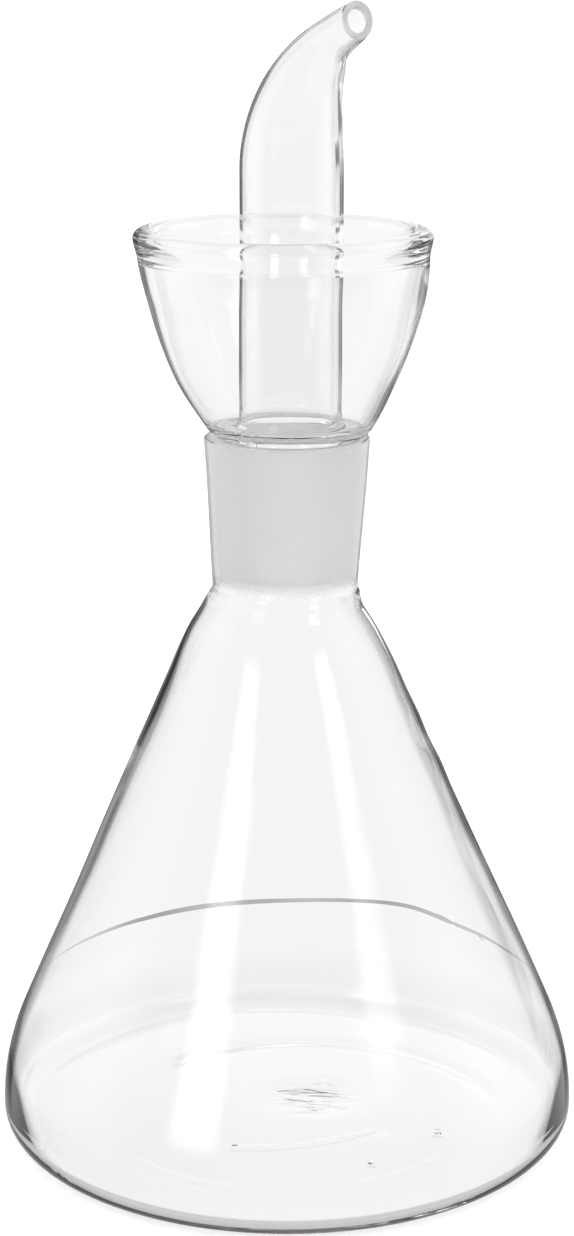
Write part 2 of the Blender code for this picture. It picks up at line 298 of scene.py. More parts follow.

# Floor, the table's edge as a line of painted shade, and lamps
FLOOR_RADIUS = 6.0
FLOOR_SIDES = 64
FLOOR_Z = -0.00002
FLOOR_COLOUR = (0.80, 0.80, 0.80, 1.0)
FLOOR_GLOW = 0.30            # for the camera only
EDGE_RADIUS = 0.1045         # the round table's edge, a dark line of painted shade for the gap there, which shows through the glass
EDGE_WIDTH = 0.0025
EDGE_SIDES = 128
EDGE_Z = -0.00001
EDGE_SCALE = 22.0
EDGE_RANGE = (0.25, 0.75)
EDGE_CLEAR = 0.2             # share of the line that is clear at least
EDGE_CLEARER = 0.5           # and how much more it is where it is faint
LAMP_DISTANCE = 0.9
LAMP_HEIGHT = 0.5
LAMP_TARGET = Vector((0.0, 0.0, 0.07))
LAMP_SIZE = (0.4, 0.8)
LAMP_POWER = 3.0

# Light's bounces
GLASS_BOUNCES = 32
GLOSSY_BOUNCES = 16
DIFFUSE_BOUNCES = 10


# Outlines, as (radius, height) points

def cubic(start, first, second, end, steps):
    t = np.linspace(0.0, 1.0, steps + 1)[:, None]
    points = [np.array(p, float) for p in (start, first, second, end)]
    weights = [(1 - t) ** 3, 3 * t * (1 - t) ** 2, 3 * t * t * (1 - t), t ** 3]
    return sum(w * p for w, p in zip(weights, points))


def quadratic(start, pull, end, steps):
    t = np.linspace(0.0, 1.0, steps + 1)[:, None]
    start, pull, end = (np.array(p, float) for p in (start, pull, end))
    return (1 - t) ** 2 * start + 2 * t * (1 - t) * pull + t * t * end


def line(start, end, steps):
    t = np.linspace(0.0, 1.0, steps + 1)[:, None]
    return (1 - t) * np.array(start, float) + t * np.array(end, float)


def arc(centre, radii, start, end, steps):
    angle = np.linspace(start, end, steps + 1)
    return np.column_stack([centre[0] + radii[0] * np.cos(angle), centre[1] + radii[1] * np.sin(angle)])


def on_line(start, end, height):
    share = (height - start[1]) / (end[1] - start[1])
    return (start[0] + (end[0] - start[0]) * share, height)


def joined(*parts):
    """Stretches of an outline end to end, without the points that two of them share."""
    kept = [parts[0]]
    for part in parts[1:]:
        kept.append(part[1:] if np.allclose(part[0], kept[-1][-1], atol=1e-7) else part)
    return np.vstack(kept)


def rounded(outline, corner, radius, steps=8):
    """The outline with its corner at that index replaced by a curve that starts and ends a radius away."""
    at = outline[corner]
    before = at + unit(outline[corner - 1] - at) * radius
    after = at + unit(outline[corner + 1] - at) * radius
    return np.vstack([outline[:corner], quadratic(before, at, after, steps), outline[corner + 1:]])


def unit(direction):
    return direction / np.linalg.norm(direction)


def inset(outline, walls):
    """Each point of an outline that runs up the outside, moved to its left by its own wall thickness."""
    along = np.gradient(outline, axis=0)
    along /= np.linalg.norm(along, axis=1)[:, None]
    inwards = np.column_stack([-along[:, 1], along[:, 0]])
    return outline + inwards * np.array(walls)[:, None]


def blend(low, high, share):
    return low + (high - low) * share


def smoothstep(value, low, high):
    t = np.clip((value - low) / (high - low), 0.0, 1.0)
    return t * t * (3 - 2 * t)


def rise(height, span, level=0.0):
    """From 0 to 1 over a span of heights, which is measured from that level."""
    return smoothstep(height, level + span[0], level + span[1])


def change(height, amount, low, high):
    """From 0 to that amount between two heights."""
    return amount * smoothstep(height, low, high)


def hump(value, size, middle, spread):
    return size * np.exp(-((value - middle) / spread) ** 2)


def socket_bore(height):
    return BORE_RADIUS - TAPER * (LIP_Z - height)


def cone_radius(height):
    return socket_bore(height) - CLEARANCE


# Meshes

def mesh_piece(name, verts, faces, finishes, materials):
    mesh = bpy.data.meshes.new(name)
    mesh.from_pydata([tuple(v) for v in verts], [], faces)
    mesh.polygons.foreach_set("material_index", finishes)
    for material in materials:
        mesh.materials.append(material)
    mesh.shade_smooth()
    piece = bpy.data.objects.new(name, mesh)
    bpy.context.scene.collection.objects.link(piece)
    bm = bmesh.new()
    bm.from_mesh(mesh)
    bmesh.ops.recalc_face_normals(bm, faces=bm.faces)
    bm.to_mesh(mesh)
    bm.free()
    return piece


def ring_points(centre, facing, radius, sides):
    """Points of a circle whose axis lies in the XZ plane, at an angle up from +X."""
    turn = np.arange(sides) * 2 * math.pi / sides
    across = np.array([math.sin(facing), 0.0, -math.cos(facing)])
    sideways = np.array([0.0, 1.0, 0.0])
    middle = np.array([centre[0], 0.0, centre[1]])
    return middle + radius * (np.cos(turn)[:, None] * across + np.sin(turn)[:, None] * sideways)


def ring_faces(first, second, sides):
    """Quads between two rings of points that start at these indices."""
    return [(first + i, first + (i + 1) % sides, second + (i + 1) % sides, second + i) for i in range(sides)]


# Flask: body and ground socket, sealed into one piece of glass

def body_outlines():
    """The body's outside from the middle of its base up to the seal, and its inside as far."""
    neck_radius = socket_bore(SEAL_Z) + JOINT_WALL - NECK_NARROWING
    foot_inner = FOOT_RADIUS - FOOT_WIDTH
    shoulder_foot = (neck_radius + SHOULDER_FLARE, SEAL_Z - SHOULDER_DROP)
    corner_pull = (FLASK_RADIUS, CORNER_HEIGHT + CORNER_RISE / 2)
    cone_foot = on_line(corner_pull, shoulder_foot, CORNER_HEIGHT + CORNER_RISE)
    shoulder_pull = on_line(corner_pull, shoulder_foot, SEAL_Z - SHOULDER_DROP / 2)
    corner_radii = (FLASK_RADIUS - FOOT_RADIUS, CORNER_HEIGHT)

    share = np.linspace(0.0, 1.0, KICK_POINTS)
    kick = np.column_stack([foot_inner * share, KICK_HEIGHT * (1 + np.cos(math.pi * share)) / 2])
    foot = line(kick[-1], (FOOT_RADIUS, 0.0), steps=8)
    low_corner = arc((FOOT_RADIUS, CORNER_HEIGHT), corner_radii, -math.pi / 2, 0.0, steps=14)
    high_corner = quadratic((FLASK_RADIUS, CORNER_HEIGHT), corner_pull, cone_foot, steps=16)
    cone = line(cone_foot, shoulder_foot, steps=44)
    shoulder = quadratic(shoulder_foot, shoulder_pull, (neck_radius, SEAL_Z), steps=14)
    base = joined(kick, foot)
    outside = joined(base, low_corner, high_corner, cone, shoulder)

    height = outside[:, 1]
    sunken = sum(change(height, *stretch) for stretch in SUNKEN)
    sunken += hump(height, *HOLLOW) * (1 - smoothstep(height, HOLLOW_END_Z, SEAL_Z))
    sunken -= change(height, *SEAL_SWELL)
    outside[:, 0] -= sunken
    blown = LOW_WALL + change(height, *WALL_GAIN) - change(height, *WALL_LOSS)
    walls = blown + (BASE_THICKNESS - blown) * (1 - smoothstep(height, 0.0, BASE_FADE))
    walls[:len(base)] = BASE_THICKNESS
    inside = inset(outside, walls)
    inside[0] = (0.0, KICK_HEIGHT + BASE_THICKNESS)
    return outside, inside[inside[:, 1] < SEAL_Z - INNER_SEAL_GAP]


def flask_outline():
    """The flask's outside, lip and inside, as three stretches that follow one another."""
    outside, inside = body_outlines()
    lip_z = LIP_Z - LIP_EDGE
    lip_inner, lip_outer = socket_bore(lip_z), socket_bore(lip_z) + JOINT_WALL
    edge_radii = (LIP_EDGE, LIP_EDGE)
    neck_foot = (socket_bore(SEAL_Z) + JOINT_WALL - NECK_NARROWING, SEAL_Z)
    outer_neck = line(neck_foot, (lip_outer, lip_z), steps=24)
    outer_edge = arc((lip_outer - LIP_EDGE, lip_z), edge_radii, 0.0, math.pi / 2, LIP_EDGE_STEPS)
    inner_edge = arc((lip_inner + LIP_EDGE, lip_z), edge_radii, math.pi / 2, math.pi, LIP_EDGE_STEPS)
    lip = joined(outer_edge, line(outer_edge[-1], inner_edge[0], steps=3), inner_edge)
    outer = rounded(joined(outside, outer_neck), len(outside) - 1, SEAL_FILLET)

    thinning = (socket_bore(SEAL_Z + GRINDING_FADE), SEAL_Z + GRINDING_FADE)
    bore = joined(line((lip_inner, lip_z), thinning, steps=20),
                  line(thinning, (socket_bore(SEAL_Z), SEAL_Z), steps=16))
    inner = np.vstack([bore, inside[::-1]])
    cut = int(np.argmin(np.abs(inner[:, 1] - SEAL_Z)))
    near = np.abs(inner[:, 1] - SEAL_Z) < INNER_SEAL_FILLET
    first = np.argmax(near) - 1
    last = len(inner) - np.argmax(near[::-1])
    fillet = quadratic(inner[first], inner[cut], inner[last], steps=14)
    return outer, lip, np.vstack([inner[:first], fillet, inner[last + 1:]])


def waves_of(turn, height, waves):
    return sum(size * np.sin(round_about * turn + climb * height + start)
               for size, round_about, climb, start in waves)


def blown_unevenness(verts, is_inner):
    """Slow waves of the blown wall, as sideways moves of its points; none at the neck or the foot."""
    turn = np.arctan2(verts[:, 1], verts[:, 0])
    height = verts[:, 2]
    outwards = np.column_stack([np.cos(turn), np.sin(turn), np.zeros(len(verts))])
    blown = rise(height, WAVES_START) * (1 - smoothstep(height, WAVES_END_Z, SEAL_Z))
    to_right = np.clip(outwards @ np.array(IMAGE_SIDE), 0.0, 1.0) ** RIPPLE_FOCUS
    ripple = hump(height, *RIPPLE) * np.sin((height - RIPPLE_START_Z) * 2 * math.pi / RIPPLE_PITCH)
    waves = waves_of(turn, height, OUTER_WAVES) + is_inner * waves_of(turn, height, INNER_WAVES)
    return outwards * ((waves + to_right * ripple) * blown)[:, None]


def flask_lean(height, is_inner):
    """How far each point leans towards the picture's right."""
    lean = change(height, *FLASK_LEAN) + change(height, *SHOULDER_LEAN)
    neck = (1 - is_inner) * (1 - smoothstep(height, SEAL_Z, NECK_LEAN_END_Z)) * NECK_LEAN
    lean = blend(lean, neck, smoothstep(height, NECK_FOOT_Z, SEAL_Z))
    body = rise(height, INNER_SHIFT_START) * (1 - rise(height, INNER_SHIFT_END))
    return lean + is_inner * body * INNER_SHIFT


def thinned_finish(step):
    """The finish that many steps away from fully ground."""
    if step > THINNING_STEPS:
        return CLEAR
    return GROUND if step == 0 else CUT + step


def flask_glass(materials):
    outer, lip, inner = flask_outline()
    outline = joined(outer, lip, inner)
    sides = FLASK_SIDES
    verts = [(0.0, 0.0, outline[0][1])]
    for radius, height in outline[1:-1]:
        verts.extend(ring_points((0.0, height), math.pi / 2, radius, sides))
    verts.append((0.0, 0.0, outline[-1][1]))
    verts = np.array(verts)
    first_inner = len(outer) + len(lip) - 2
    first_ground = len(outer) + LIP_EDGE_STEPS
    rings = len(outline) - 2
    last = 1 + (rings - 1) * sides

    faces = [(0, 1 + i, 1 + (i + 1) % sides) for i in range(sides)]
    finishes = [CLEAR] * sides
    grain = np.random.default_rng(THINNING_SEED)
    for ring in range(rings - 1):
        faces.extend(ring_faces(1 + ring * sides, 1 + (ring + 1) * sides, sides))
        above_seal = outline[ring + 1][1] - SEAL_Z
        frosted = smoothstep(above_seal, GRINDING_END, GRINDING_FADE) if ring + 1 >= first_ground else 0.0
        even = (1 - frosted) * (THINNING_STEPS + 1)
        steps = np.round(even + grain.random(sides) * THINNING_SPREAD - THINNING_SPREAD / 2)
        steps = np.clip(steps, 0, THINNING_STEPS + 1).astype(int)
        finishes.extend(CLEAR if frosted == 0 else thinned_finish(step) for step in steps)
    faces.extend((last + i, len(verts) - 1, last + (i + 1) % sides) for i in range(sides))
    finishes.extend([CLEAR] * sides)

    is_inner = np.arange(len(verts)) >= 1 + (first_inner - 1) * sides
    verts += flask_lean(verts[:, 2], is_inner)[:, None] * np.array(IMAGE_SIDE)
    verts += blown_unevenness(verts, is_inner)
    return mesh_piece("flask_glass", verts, faces, finishes, materials)


# Pourer: ground cone, drip cup and spout, sealed into one piece of glass

def bend_stations():
    """Middle points of the bent end, with the direction of each ring and its share of the bend."""
    start = (0.0, BEND_Z)
    end = (SPOUT_REACH, BEND_Z + SPOUT_RISE)
    first = (0.0, BEND_Z + SPOUT_LOWER_PULL)
    second = (end[0] - SPOUT_UPPER_PULL * math.cos(SPOUT_LEAN),
              end[1] - SPOUT_UPPER_PULL * math.sin(SPOUT_LEAN))
    path = cubic(start, first, second, end, SPOUT_STEPS)
    share = np.linspace(0.0, 1.0, SPOUT_STEPS + 1)
    along = np.gradient(path, axis=0)
    direction = np.arctan2(along[:, 1], along[:, 0])
    direction[0] = math.pi / 2
    late = share ** TIP_TURN_POWER
    return path, direction * (1 - late) + TIP_CUT * late, share


def cup_outline():
    """The cup from its foot, up the outside, over the bead and down the inside to its floor."""
    bead = (RIM_RADIUS - BEAD_DEPTH, RIM_Z - BEAD_RADIUS)
    wall_radius = RIM_RADIUS - BEAD_OVERHANG
    wall_top = RIM_Z - BEAD_RADIUS - math.sqrt(BEAD_RADIUS ** 2 - (BEAD_RADIUS - BEAD_OVERHANG) ** 2)
    start = (CUP_NECK_RADIUS, CUP_FOOT_Z)
    lower = (start[0] + CUP_LOWER_PULL * math.sin(CUP_FLARE_ANGLE),
             start[1] + CUP_LOWER_PULL * math.cos(CUP_FLARE_ANGLE))
    upper = (wall_radius, wall_top - CUP_UPPER_PULL)
    wall = cubic(start, lower, upper, (wall_radius, wall_top), steps=40)
    wall[:, 0] -= hump(wall[:, 1], *CUP_SLIMMING)
    inside = inset(wall, blend(CUP_LOW_WALL, CUP_WALL, rise(wall[:, 1], CUP_WALL_SPAN)))

    wall = wall[wall[:, 1] < bead[1] - BEAD_SWELL]
    rising = unit(wall[-1] - wall[-2])
    swell = cubic(wall[-1], wall[-1] + rising * SWELL_PULLS[0],
                  (RIM_RADIUS, bead[1] - SWELL_PULLS[1]), (RIM_RADIUS, bead[1]), steps=12)
    rim = arc(bead, (BEAD_DEPTH, BEAD_RADIUS), 0.0, math.pi, steps=20)
    inside = inside[inside[:, 1] < bead[1] - BEAD_SWELL_INSIDE]
    falling = unit(inside[-2] - inside[-1])
    inner_swell = cubic(rim[-1], (rim[-1][0], bead[1] - INNER_SWELL_PULLS[0]),
                        inside[-1] - falling * INNER_SWELL_PULLS[1], inside[-1], steps=14)

    floor_z = CUP_FOOT_Z + CUP_FLOOR
    over_floor = inside[inside[:, 1] > floor_z]
    corner = on_line(over_floor[0], over_floor[1], floor_z)
    inside = inside[inside[:, 1] > floor_z + CUP_CORNER]
    fillet = quadratic(inside[0], corner, (corner[0] - CUP_CORNER * CUP_CORNER_SHARE, floor_z), steps=12)
    return joined(wall, swell, rim, inner_swell, inside[::-1], fillet)


def upright_rings(outline, finish, kind):
    return [((0.0, height), math.pi / 2, radius, finish, kind) for radius, height in outline]


def bend_rings():
    """The rings of the bent end, over the cut tip and back down its bore."""
    path, direction, share = bend_stations()
    narrowing = share ** TAPER_POWER * (2 - share)
    fuller = hump(share, *BEND_FULLER) - hump(share, *BEND_SLIMMER)
    radii = TUBE_RADIUS + (TIP_RADIUS - TUBE_RADIUS) * narrowing + fuller
    walls = TUBE_WALL + (TIP_WALL - TUBE_WALL) * narrowing
    path = path + np.column_stack([fuller / math.cos(CAMERA_AZIMUTH), np.zeros(len(path))])
    ahead = np.array([math.cos(TIP_CUT), math.sin(TIP_CUT)])

    rings = [(tuple(path[i]), direction[i], radii[i], CLEAR, "tube") for i in range(1, len(path) - 1)]
    for angle in np.linspace(0.0, math.pi / 2, TIP_EDGE_POINTS):
        middle = path[-1] - ahead * TIP_EDGE * (1 - math.sin(angle))
        radius = TIP_RADIUS - TIP_EDGE * (1 - math.cos(angle))
        rings.append((tuple(middle), TIP_CUT, radius, CUT, "tip"))
    for angle in np.linspace(math.pi / 2, math.pi, TIP_EDGE_POINTS):
        middle = path[-1] - ahead * TIP_EDGE * (1 - math.sin(angle))
        radius = TIP_RADIUS - TIP_WALL + TIP_EDGE * (1 + math.cos(angle))
        rings.append((tuple(middle), TIP_CUT, radius, CUT, "tip"))
    for i in range(len(path) - 2, 0, -1):
        rings.append((tuple(path[i]), direction[i], radii[i] - walls[i], CLEAR, "bore"))
    return rings


def pourer_rings():
    """Every ring of the pourer's closed surface, as (middle, facing, radius, finish, kind)."""
    floor_z = CUP_FOOT_Z + CUP_FLOOR
    nose_z = CONE_FOOT_Z + CONE_NOSE
    nose_inner = cone_radius(nose_z) - CONE_WALL
    nose_middle, nose_radii = (nose_inner + CONE_WALL / 2, nose_z), (CONE_WALL / 2, CONE_NOSE)
    cone_top = (cone_radius(CUP_FOOT_Z - CLEARANCE), CUP_FOOT_Z - CLEARANCE)

    nose = arc(nose_middle, nose_radii, -math.pi / 2, 0.0, steps=8)
    cone = line(nose[-1], cone_top, steps=28)
    cup = cup_outline()
    over_foot = cup[int(np.argmax(cup[:, 1] > CUP_FOOT_Z + CUP_FOOT_FILLET)):]
    foot_pull = (CUP_NECK_RADIUS - CUP_FOOT_PULL, CUP_FOOT_Z)
    outside = joined(cone, quadratic(cone[-1], foot_pull, over_foot[0], steps=10), over_foot)
    flare, lift = TUBE_FOOT_ROUND
    floor = line(cup[-1], (TUBE_RADIUS + flare, floor_z), steps=4)
    foot = quadratic(floor[-1], (TUBE_RADIUS, floor_z), (TUBE_RADIUS, floor_z + lift), steps=12)
    rise_of_tube = line(foot[-1], (TUBE_RADIUS, BEND_Z), steps=28)

    bore_radius = TUBE_RADIUS - TUBE_WALL
    cone_inner_top = cone_radius(CUP_FOOT_Z) - CONE_WALL
    fall = line((bore_radius, BEND_Z), (bore_radius, CUP_FOOT_Z + SEAL_ROUND), steps=30)
    mouth = quadratic(fall[-1], (bore_radius, CUP_FOOT_Z), (bore_radius + SEAL_ROUND, CUP_FOOT_Z), steps=10)
    turn_end = (cone_radius(CUP_FOOT_Z - SEAL_ROUND) - CONE_WALL, CUP_FOOT_Z - SEAL_ROUND)
    turn = quadratic(mouth[-1], (cone_inner_top, CUP_FOOT_Z), turn_end, steps=12)
    lining = line(turn[-1], (nose_inner, nose_z), steps=28)
    heel = arc(nose_middle, nose_radii, -math.pi, -math.pi / 2, steps=8)

    rings = upright_rings(nose[:-1], GROUND, "cone")
    crest = int(np.argmax(outside[:, 1])) + 1
    ground = int(np.argmax(outside[:, 1] >= CONE_GROUND_Z))
    rings += upright_rings(outside[:ground], GROUND, "cup")
    rings += upright_rings(outside[ground:crest], CLEAR, "cup")
    rings += upright_rings(outside[crest:], CLEAR, "cup_inside")
    rings += upright_rings(floor[1:], CLEAR, "floor")
    rings += upright_rings(joined(foot, rise_of_tube)[1:], CLEAR, "tube")
    rings += bend_rings()
    rings += upright_rings(joined(fall, mouth), CLEAR, "bore")
    rings += upright_rings(joined(turn, lining, heel[:-1])[1:], CLEAR, "cone")
    return rings


def drip_hole_cutter():
    inner = TUBE_RADIUS + DRIP_HOLE_GAP
    outer = cone_radius(CUP_FOOT_Z - CLEARANCE) - CONE_WALL
    bm = bmesh.new()
    bmesh.ops.create_cone(bm, cap_ends=True, segments=DRIP_HOLE_SIDES, radius1=DRIP_HOLE_WIDTH / 2,
                          radius2=DRIP_HOLE_WIDTH / 2, depth=CUP_FLOOR + CUTTER_SPARE)
    bmesh.ops.scale(bm, vec=(1.0, DRIP_HOLE_LENGTH / DRIP_HOLE_WIDTH, 1.0), verts=bm.verts)
    moved = Matrix.Translation(((inner + outer) / 2, 0.0, CUP_FOOT_Z + CUP_FLOOR / 2))
    bmesh.ops.transform(bm, matrix=Matrix.Rotation(DRIP_HOLE_ANGLE, 4, "Z") @ moved, verts=bm.verts)
    mesh = bpy.data.meshes.new("drip_hole_cutter")
    bm.to_mesh(mesh)
    bm.free()
    cutter = bpy.data.objects.new("drip_hole_cutter", mesh)
    bpy.context.scene.collection.objects.link(cutter)
    return cutter


def apply_modifiers(piece):
    graph = bpy.context.evaluated_depsgraph_get()
    finished = bpy.data.meshes.new_from_object(piece.evaluated_get(graph))
    piece.modifiers.clear()
    piece.data = finished


def pourer_unevenness(verts, kind):
    """How far each point lies off the turned shape, towards the picture's right."""
    height = verts[:, 2]
    radius = np.hypot(verts[:, 0], verts[:, 1])
    leaning = blend(CUP_FOOT_SHIFT, CUP_BELLY_SHIFT, rise(height, CUP_BELLY_START, CUP_FOOT_Z))
    leaning = blend(leaning, CUP_LEAN, rise(height, CUP_LEAN_START, RIM_Z))
    cup = rise(height, CUP_START, CUP_FOOT_Z) * leaning
    cup_inside = cup + CUP_INNER_LEAN * (1 - rise(height, CUP_INNER_END, RIM_Z))
    tube_share = rise(height, TUBE_START, CUP_FOOT_Z)
    tip_share = rise(height, TIP_START, BEND_Z)
    tube = TUBE_SHIFT * tube_share + TIP_SHIFT * tip_share
    bore = tube + BORE_SHIFT * tube_share * (1 - tip_share)
    floor_share = (radius - TUBE_RADIUS) / (CUP_NECK_RADIUS - TUBE_RADIUS)
    floor = blend(TUBE_SHIFT, cup_inside, np.clip(floor_share, 0.0, 1.0))
    moves = {"cup": cup, "cup_inside": cup_inside, "floor": floor, "tube": tube, "tip": tube, "bore": bore}
    return np.select([kind == name for name in moves], list(moves.values()), 0.0)


def pourer_glass(materials):
    rings = pourer_rings()
    sides = POURER_SIDES
    verts, faces, finishes = [], [], []
    for i, (middle, facing, radius, finish, _) in enumerate(rings):
        verts.extend(ring_points(middle, facing, radius, sides))
        faces.extend(ring_faces(i * sides, (i + 1) % len(rings) * sides, sides))
        finishes.extend([finish] * sides)
    verts = np.array(verts)
    kind = np.repeat([ring[4] for ring in rings], sides)
    verts += pourer_unevenness(verts, kind)[:, None] * np.array(IMAGE_SIDE)
    piece = mesh_piece("pourer_glass", verts, faces, finishes, materials)
    cutter = drip_hole_cutter()
    hole = piece.modifiers.new("drip_hole", "BOOLEAN")
    hole.operation = "DIFFERENCE"
    hole.solver = "EXACT"
    hole.object = cutter
    apply_modifiers(piece)
    bpy.data.objects.remove(cutter)
    piece.data.set_sharp_from_angle(angle=SHARP_ANGLE)
    return piece


# Nodes

def math_node(tree, operation, *values):
    node = tree.nodes.new("ShaderNodeMath")
    node.operation = operation
    for socket, value in zip(node.inputs, values):
        if isinstance(value, (int, float)):
            socket.default_value = value
        else:
            tree.links.new(value, socket)
    return node.outputs[0]


def soft_range(tree, value, low, high):
    node = tree.nodes.new("ShaderNodeMapRange")
    node.interpolation_type = "SMOOTHSTEP"
    node.inputs["From Min"].default_value = low
    node.inputs["From Max"].default_value = high
    tree.links.new(value, node.inputs["Value"])
    return node.outputs["Result"]


def blend_level(tree, share, low, high):
    """low where share is 0, high where it is 1."""
    difference = math_node(tree, "SUBTRACT", high, low)
    return math_node(tree, "ADD", low, math_node(tree, "MULTIPLY", share, difference))


def noise_of(tree, place, scale, detail, distortion=0.0):
    noise = tree.nodes.new("ShaderNodeTexNoise")
    noise.inputs["Scale"].default_value = scale
    noise.inputs["Detail"].default_value = detail
    noise.inputs["Distortion"].default_value = distortion
    tree.links.new(place, noise.inputs["Vector"])
    return noise.outputs["Fac"]


def own_place(tree):
    return tree.nodes.new("ShaderNodeTexCoord").outputs["Object"]


def mixed(tree, share, first, second):
    """A mix of two shaders; the share of the second one is a number or a socket."""
    mix = tree.nodes.new("ShaderNodeMixShader")
    if isinstance(share, (int, float)):
        mix.inputs[0].default_value = share
    else:
        tree.links.new(share, mix.inputs[0])
    tree.links.new(first.outputs[0], mix.inputs[1])
    tree.links.new(second.outputs[0], mix.inputs[2])
    return mix


def show_surface(tree, shader):
    tree.links.new(shader.outputs[0], tree.nodes["Material Output"].inputs["Surface"])


# Materials

def new_material(name):
    material = bpy.data.materials.new(name)
    material.use_nodes = True
    tree = material.node_tree
    return material, tree, tree.nodes["Principled BSDF"]


def lit_through(tree, shader, share):
    """Lets that share of the lamps' light through in place of a hard shadow."""
    path = tree.nodes.new("ShaderNodeLightPath")
    clear = tree.nodes.new("ShaderNodeBsdfTransparent")
    passing = math_node(tree, "MULTIPLY", path.outputs["Is Shadow Ray"], share)
    show_surface(tree, mixed(tree, passing, shader, clear))


def base_marks(tree, place):
    """Heights, in metres, of the marks that blowing and pressing left inside the base."""
    turned = tree.nodes.new("ShaderNodeVectorRotate")
    turned.rotation_type = "Z_AXIS"
    turned.inputs["Angle"].default_value = -CAMERA_AZIMUTH
    tree.links.new(place, turned.inputs["Vector"])
    split = tree.nodes.new("ShaderNodeSeparateXYZ")
    tree.links.new(turned.outputs[0], split.inputs[0])
    across, beyond, height = split.outputs

    def away(middle):
        side = math_node(tree, "SUBTRACT", across, middle[0])
        depth = math_node(tree, "SUBTRACT", beyond, middle[1])
        side = math_node(tree, "MULTIPLY", side, side)
        depth = math_node(tree, "MULTIPLY", depth, depth)
        return math_node(tree, "SQRT", math_node(tree, "ADD", side, depth))

    def near(distance, radius, width):
        off = math_node(tree, "ABSOLUTE", math_node(tree, "SUBTRACT", distance, radius))
        return math_node(tree, "SUBTRACT", 1.0, soft_range(tree, off, 0.0, width))

    def between(value, start, end):
        falling = math_node(tree, "SUBTRACT", 1.0, soft_range(tree, value, *end))
        return math_node(tree, "MULTIPLY", soft_range(tree, value, *start), falling)

    def around(level):
        return level - RING_END, level + RING_END

    marks = []
    for middle, radius, width, size, sides, depths in BASE_RINGS:
        ring = near(away(middle), radius, width)
        ring = math_node(tree, "MULTIPLY", ring, between(across, around(sides[0]), around(sides[1])))
        ring = math_node(tree, "MULTIPLY", ring, between(beyond, around(depths[0]), around(depths[1])))
        marks.append(math_node(tree, "MULTIPLY", ring, size))
    for middle, width, size in BASE_SPOTS:
        marks.append(math_node(tree, "MULTIPLY", near(away(middle), 0.0, width), size))
    grain = tree.nodes.new("ShaderNodeMapping")
    grain.inputs["Rotation"].default_value = (0.0, 0.0, BASE_NAVEL_TURN)
    grain.inputs["Scale"].default_value = BASE_NAVEL_GRAIN
    tree.links.new(turned.outputs[0], grain.inputs["Vector"])
    folds = noise_of(tree, grain.outputs[0], FOLD_SCALE, detail=1.0, distortion=FOLD_DISTORTION)
    folds = math_node(tree, "MULTIPLY", folds, near(away(BASE_NAVEL), 0.0, BASE_NAVEL_WIDTH))
    total = math_node(tree, "MULTIPLY", folds, FOLD_HEIGHT)
    for mark in marks:
        total = math_node(tree, "ADD", total, mark)
    return math_node(tree, "MULTIPLY", total, between(height, MARKS_START, MARKS_END))


def clear_glass():
    material, tree, shader = new_material("clear_glass")
    shader.inputs["Base Color"].default_value = GLASS_TINT
    shader.inputs["Roughness"].default_value = 0.0
    shader.inputs["IOR"].default_value = GLASS_IOR
    shader.inputs["Transmission Weight"].default_value = 1.0
    place = own_place(tree)
    waves = math_node(tree, "MULTIPLY", noise_of(tree, place, WAVE_SCALE, detail=1.0), WAVE_HEIGHT)
    wisps = soft_range(tree, noise_of(tree, place, WISP_SPREAD, detail=0.0), *WISP_RANGE)
    texture = noise_of(tree, place, WISP_SCALE, detail=0.0, distortion=WISP_DISTORTION)
    wisps = math_node(tree, "MULTIPLY", math_node(tree, "MULTIPLY", wisps, texture), WISP_HEIGHT)
    relief = math_node(tree, "ADD", math_node(tree, "ADD", waves, wisps), base_marks(tree, place))
    bump = tree.nodes.new("ShaderNodeBump")
    bump.inputs["Strength"].default_value = 1.0
    bump.inputs["Distance"].default_value = 1.0
    tree.links.new(relief, bump.inputs["Height"])
    tree.links.new(bump.outputs["Normal"], shader.inputs["Normal"])
    lit_through(tree, shader, CLEAR_SHADOW)
    return material


def ground_glass(name, share=1.0, shade=GROUND_SHADE, milkiness=GROUND_MILKINESS):
    """Glass ground matt, or only by that share of it where the grinding thins out."""
    material, tree, shader = new_material(name)
    red, cooler = blend(1.0, shade, share), blend(1.0, shade + COOLNESS, share)
    shader.inputs["Base Color"].default_value = (red, cooler, cooler, 1.0)
    shader.inputs["IOR"].default_value = GLASS_IOR
    shader.inputs["Transmission Weight"].default_value = blend(1.0, GROUND_TRANSMISSION, share)
    rough = tree.nodes.new("ShaderNodeMapRange")
    rough.inputs["To Min"].default_value = GROUND_ROUGHNESS[0] * share
    rough.inputs["To Max"].default_value = GROUND_ROUGHNESS[1] * share
    tree.links.new(noise_of(tree, own_place(tree), GRAIN_SCALE, detail=2.0), rough.inputs["Value"])
    tree.links.new(rough.outputs["Result"], shader.inputs["Roughness"])
    milk = tree.nodes.new("ShaderNodeBsdfTranslucent")
    milk.inputs["Color"].default_value = MILK_COLOUR
    lit_through(tree, mixed(tree, milkiness * share, shader, milk), blend(CLEAR_SHADOW, GROUND_SHADOW, share))
    return material


# Stage: a white floor and a studio that is white behind the glass, dark beside it, with two tall softboxes

def panel(tree, azimuth, half_width, edge, direction_azimuth):
    """An upright panel round a world azimuth, as a level from 0 to 1."""
    turned = math_node(tree, "COSINE", math_node(tree, "SUBTRACT", direction_azimuth, azimuth))
    return soft_range(tree, turned, math.cos(half_width + edge), math.cos(half_width - edge))


